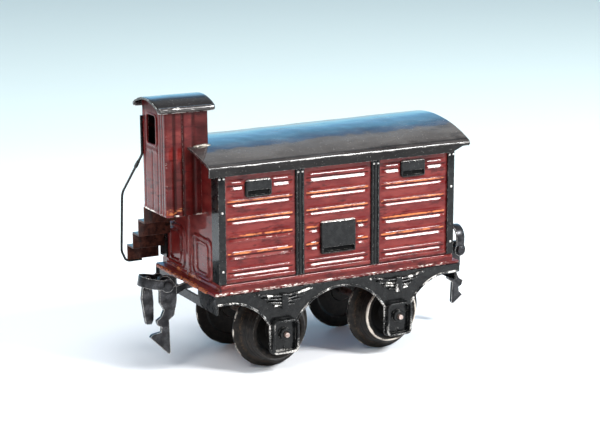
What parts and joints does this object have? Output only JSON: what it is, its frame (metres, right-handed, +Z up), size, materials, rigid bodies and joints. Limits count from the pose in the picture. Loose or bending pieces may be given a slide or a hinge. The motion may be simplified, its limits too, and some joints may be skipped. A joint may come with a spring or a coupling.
{
  "type": "model goods wagon with brakeman's cab",
  "caption": "Gauge 0 tinplate covered goods wagon with a raised brakeman's cab, stair, turning wheelsets and swinging hook and loop couplings.",
  "frame": {"origin": "on the centre line midway along the body, at the standing surface under the wheel flanges", "axes": "+X along the wagon away from the cab, +Y across to the stair side, +Z up"},
  "size_m": [0.1268, 0.0575, 0.0923],
  "materials": {
    "body_red": "glossy translucent red lacquer over tin, worn at the edges",
    "roof_black": "dark glossy lacquer, dusty and chipped",
    "trim_black": "black lacquer, worn to bright metal on the edges",
    "stair_brown": "dull dark brown lacquer",
    "wheel_iron": "blackened cast metal with worn bright rims",
    "axle_steel": "plain steel with a coppery tarnish",
    "coupling_steel": "blued sheet steel, satin"
  },
  "bodies": {
    "wagon": {"cab_end_beam": "trim_black", "cab_end_coupling_pin": "coupling_steel", "cab_end_drawbar": "coupling_steel", "cab_end_panel": "body_red", "cab_floor": "stair_brown", "cab_roof": "roof_black", "cab_shell": "body_red", "far_cab_end_axle_box": "trim_black", "far_cab_end_corner_post": "trim_black", "far_cab_end_leaf_spring": "trim_black", "far_hatch": "trim_black", "far_plain_end_axle_box": "trim_black", "far_plain_end_corner_post": "trim_black", "far_plain_end_leaf_spring": "trim_black", "far_post_1": "trim_black", "far_post_2": "trim_black", "far_side_frame": "trim_black", "far_side_panel": "body_red", "far_vent_cab_end": "trim_black", "far_vent_plain_end": "trim_black", "floor_tray": "body_red", "handrail": "trim_black", "near_cab_end_axle_box": "trim_black", "near_cab_end_corner_post": "trim_black", "near_cab_end_leaf_spring": "trim_black", "near_hatch": "trim_black", "near_plain_end_axle_box": "trim_black", "near_plain_end_corner_post": "trim_black", "near_plain_end_leaf_spring": "trim_black", "near_post_1": "trim_black", "near_post_2": "trim_black", "near_side_frame": "trim_black", "near_side_panel": "body_red", "near_vent_cab_end": "trim_black", "near_vent_plain_end": "trim_black", "plain_end_beam": "trim_black", "plain_end_coupling_pin": "coupling_steel", "plain_end_drawbar": "coupling_steel", "plain_end_panel": "body_red", "roof": "roof_black", "stairs": "stair_brown"},
    "cab_end_wheelset": {"cab_end_axle": "axle_steel", "near_cab_end_wheel": "wheel_iron", "far_cab_end_wheel": "wheel_iron"},
    "plain_end_wheelset": {"plain_end_axle": "axle_steel", "near_plain_end_wheel": "wheel_iron", "far_plain_end_wheel": "wheel_iron"},
    "cab_end_hook": {"cab_end_hook": "coupling_steel"},
    "plain_end_hook": {"plain_end_hook": "coupling_steel"},
    "cab_end_loop": {"cab_end_loop": "coupling_steel", "link_pin": "axle_steel"},
    "plain_end_loop": {"plain_end_loop": "coupling_steel"},
    "drop_link": {"drop_link": "coupling_steel"}
  },
  "joints": [
    {"name": "cab_end_wheelset_spin", "type": "hinge", "parent": "wagon", "child": "cab_end_wheelset", "pos_m": [-0.0222, 0, 0.01405], "axis": [0, 1, 0], "continuous": true},
    {"name": "plain_end_wheelset_spin", "type": "hinge", "parent": "wagon", "child": "plain_end_wheelset", "pos_m": [0.0215, 0, 0.01405], "axis": [0, 1, 0], "continuous": true},
    {"name": "cab_end_hook_swing", "type": "hinge", "parent": "wagon", "child": "cab_end_hook", "pos_m": [-0.0548, 0, 0.0298], "axis": [0, 1, 0], "range_deg": [-8, 40]},
    {"name": "plain_end_hook_swing", "type": "hinge", "parent": "wagon", "child": "plain_end_hook", "pos_m": [0.06, 0, 0.0282], "axis": [0, -1, 0], "range_deg": [-8, 60]},
    {"name": "cab_end_loop_lift", "type": "hinge", "parent": "wagon", "child": "cab_end_loop", "pos_m": [-0.0548, 0, 0.0298], "axis": [0, 1, 0], "range_deg": [0, 60]},
    {"name": "plain_end_loop_drop", "type": "hinge", "parent": "wagon", "child": "plain_end_loop", "pos_m": [0.06, 0, 0.0282], "axis": [0, 1, 0], "range_deg": [0, 95]},
    {"name": "drop_link_swing", "type": "hinge", "parent": "cab_end_loop", "child": "drop_link", "pos_m": [-0.05969, 0, 0.03084], "axis": [0, 1, 0], "range_deg": [-20, 25]}
  ]
}
